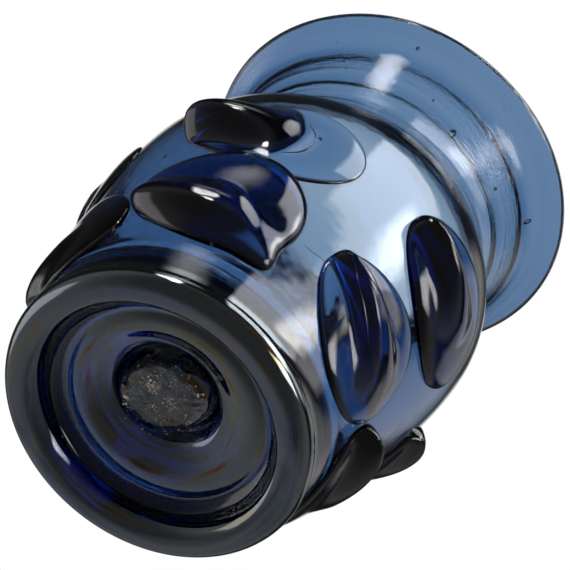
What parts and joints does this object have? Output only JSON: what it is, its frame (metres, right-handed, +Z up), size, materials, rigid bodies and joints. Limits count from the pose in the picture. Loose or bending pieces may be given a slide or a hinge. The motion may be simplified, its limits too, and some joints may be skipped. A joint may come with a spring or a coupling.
{
  "type": "prunted glass beaker",
  "caption": "Blown glass beaker with a barrel body, drawn-in neck and flaring lip, nipped prunts in two rows round its side and a thick foot ring under a kicked-in base.",
  "frame": {"origin": "middle of the bounding box's plan, on the surface that the foot ring stands on", "axes": "+Z up through the mouth; -Y is the side that the picture shows; +X is the way the body leans"},
  "size_m": [0.0716, 0.073, 0.0906],
  "materials": {
    "blue_glass": "glossy, transparent grey-blue, with small seeds and bubbles"
  },
  "bodies": {
    "root": {"beaker": "blue_glass"}
  },
  "joints": []
}
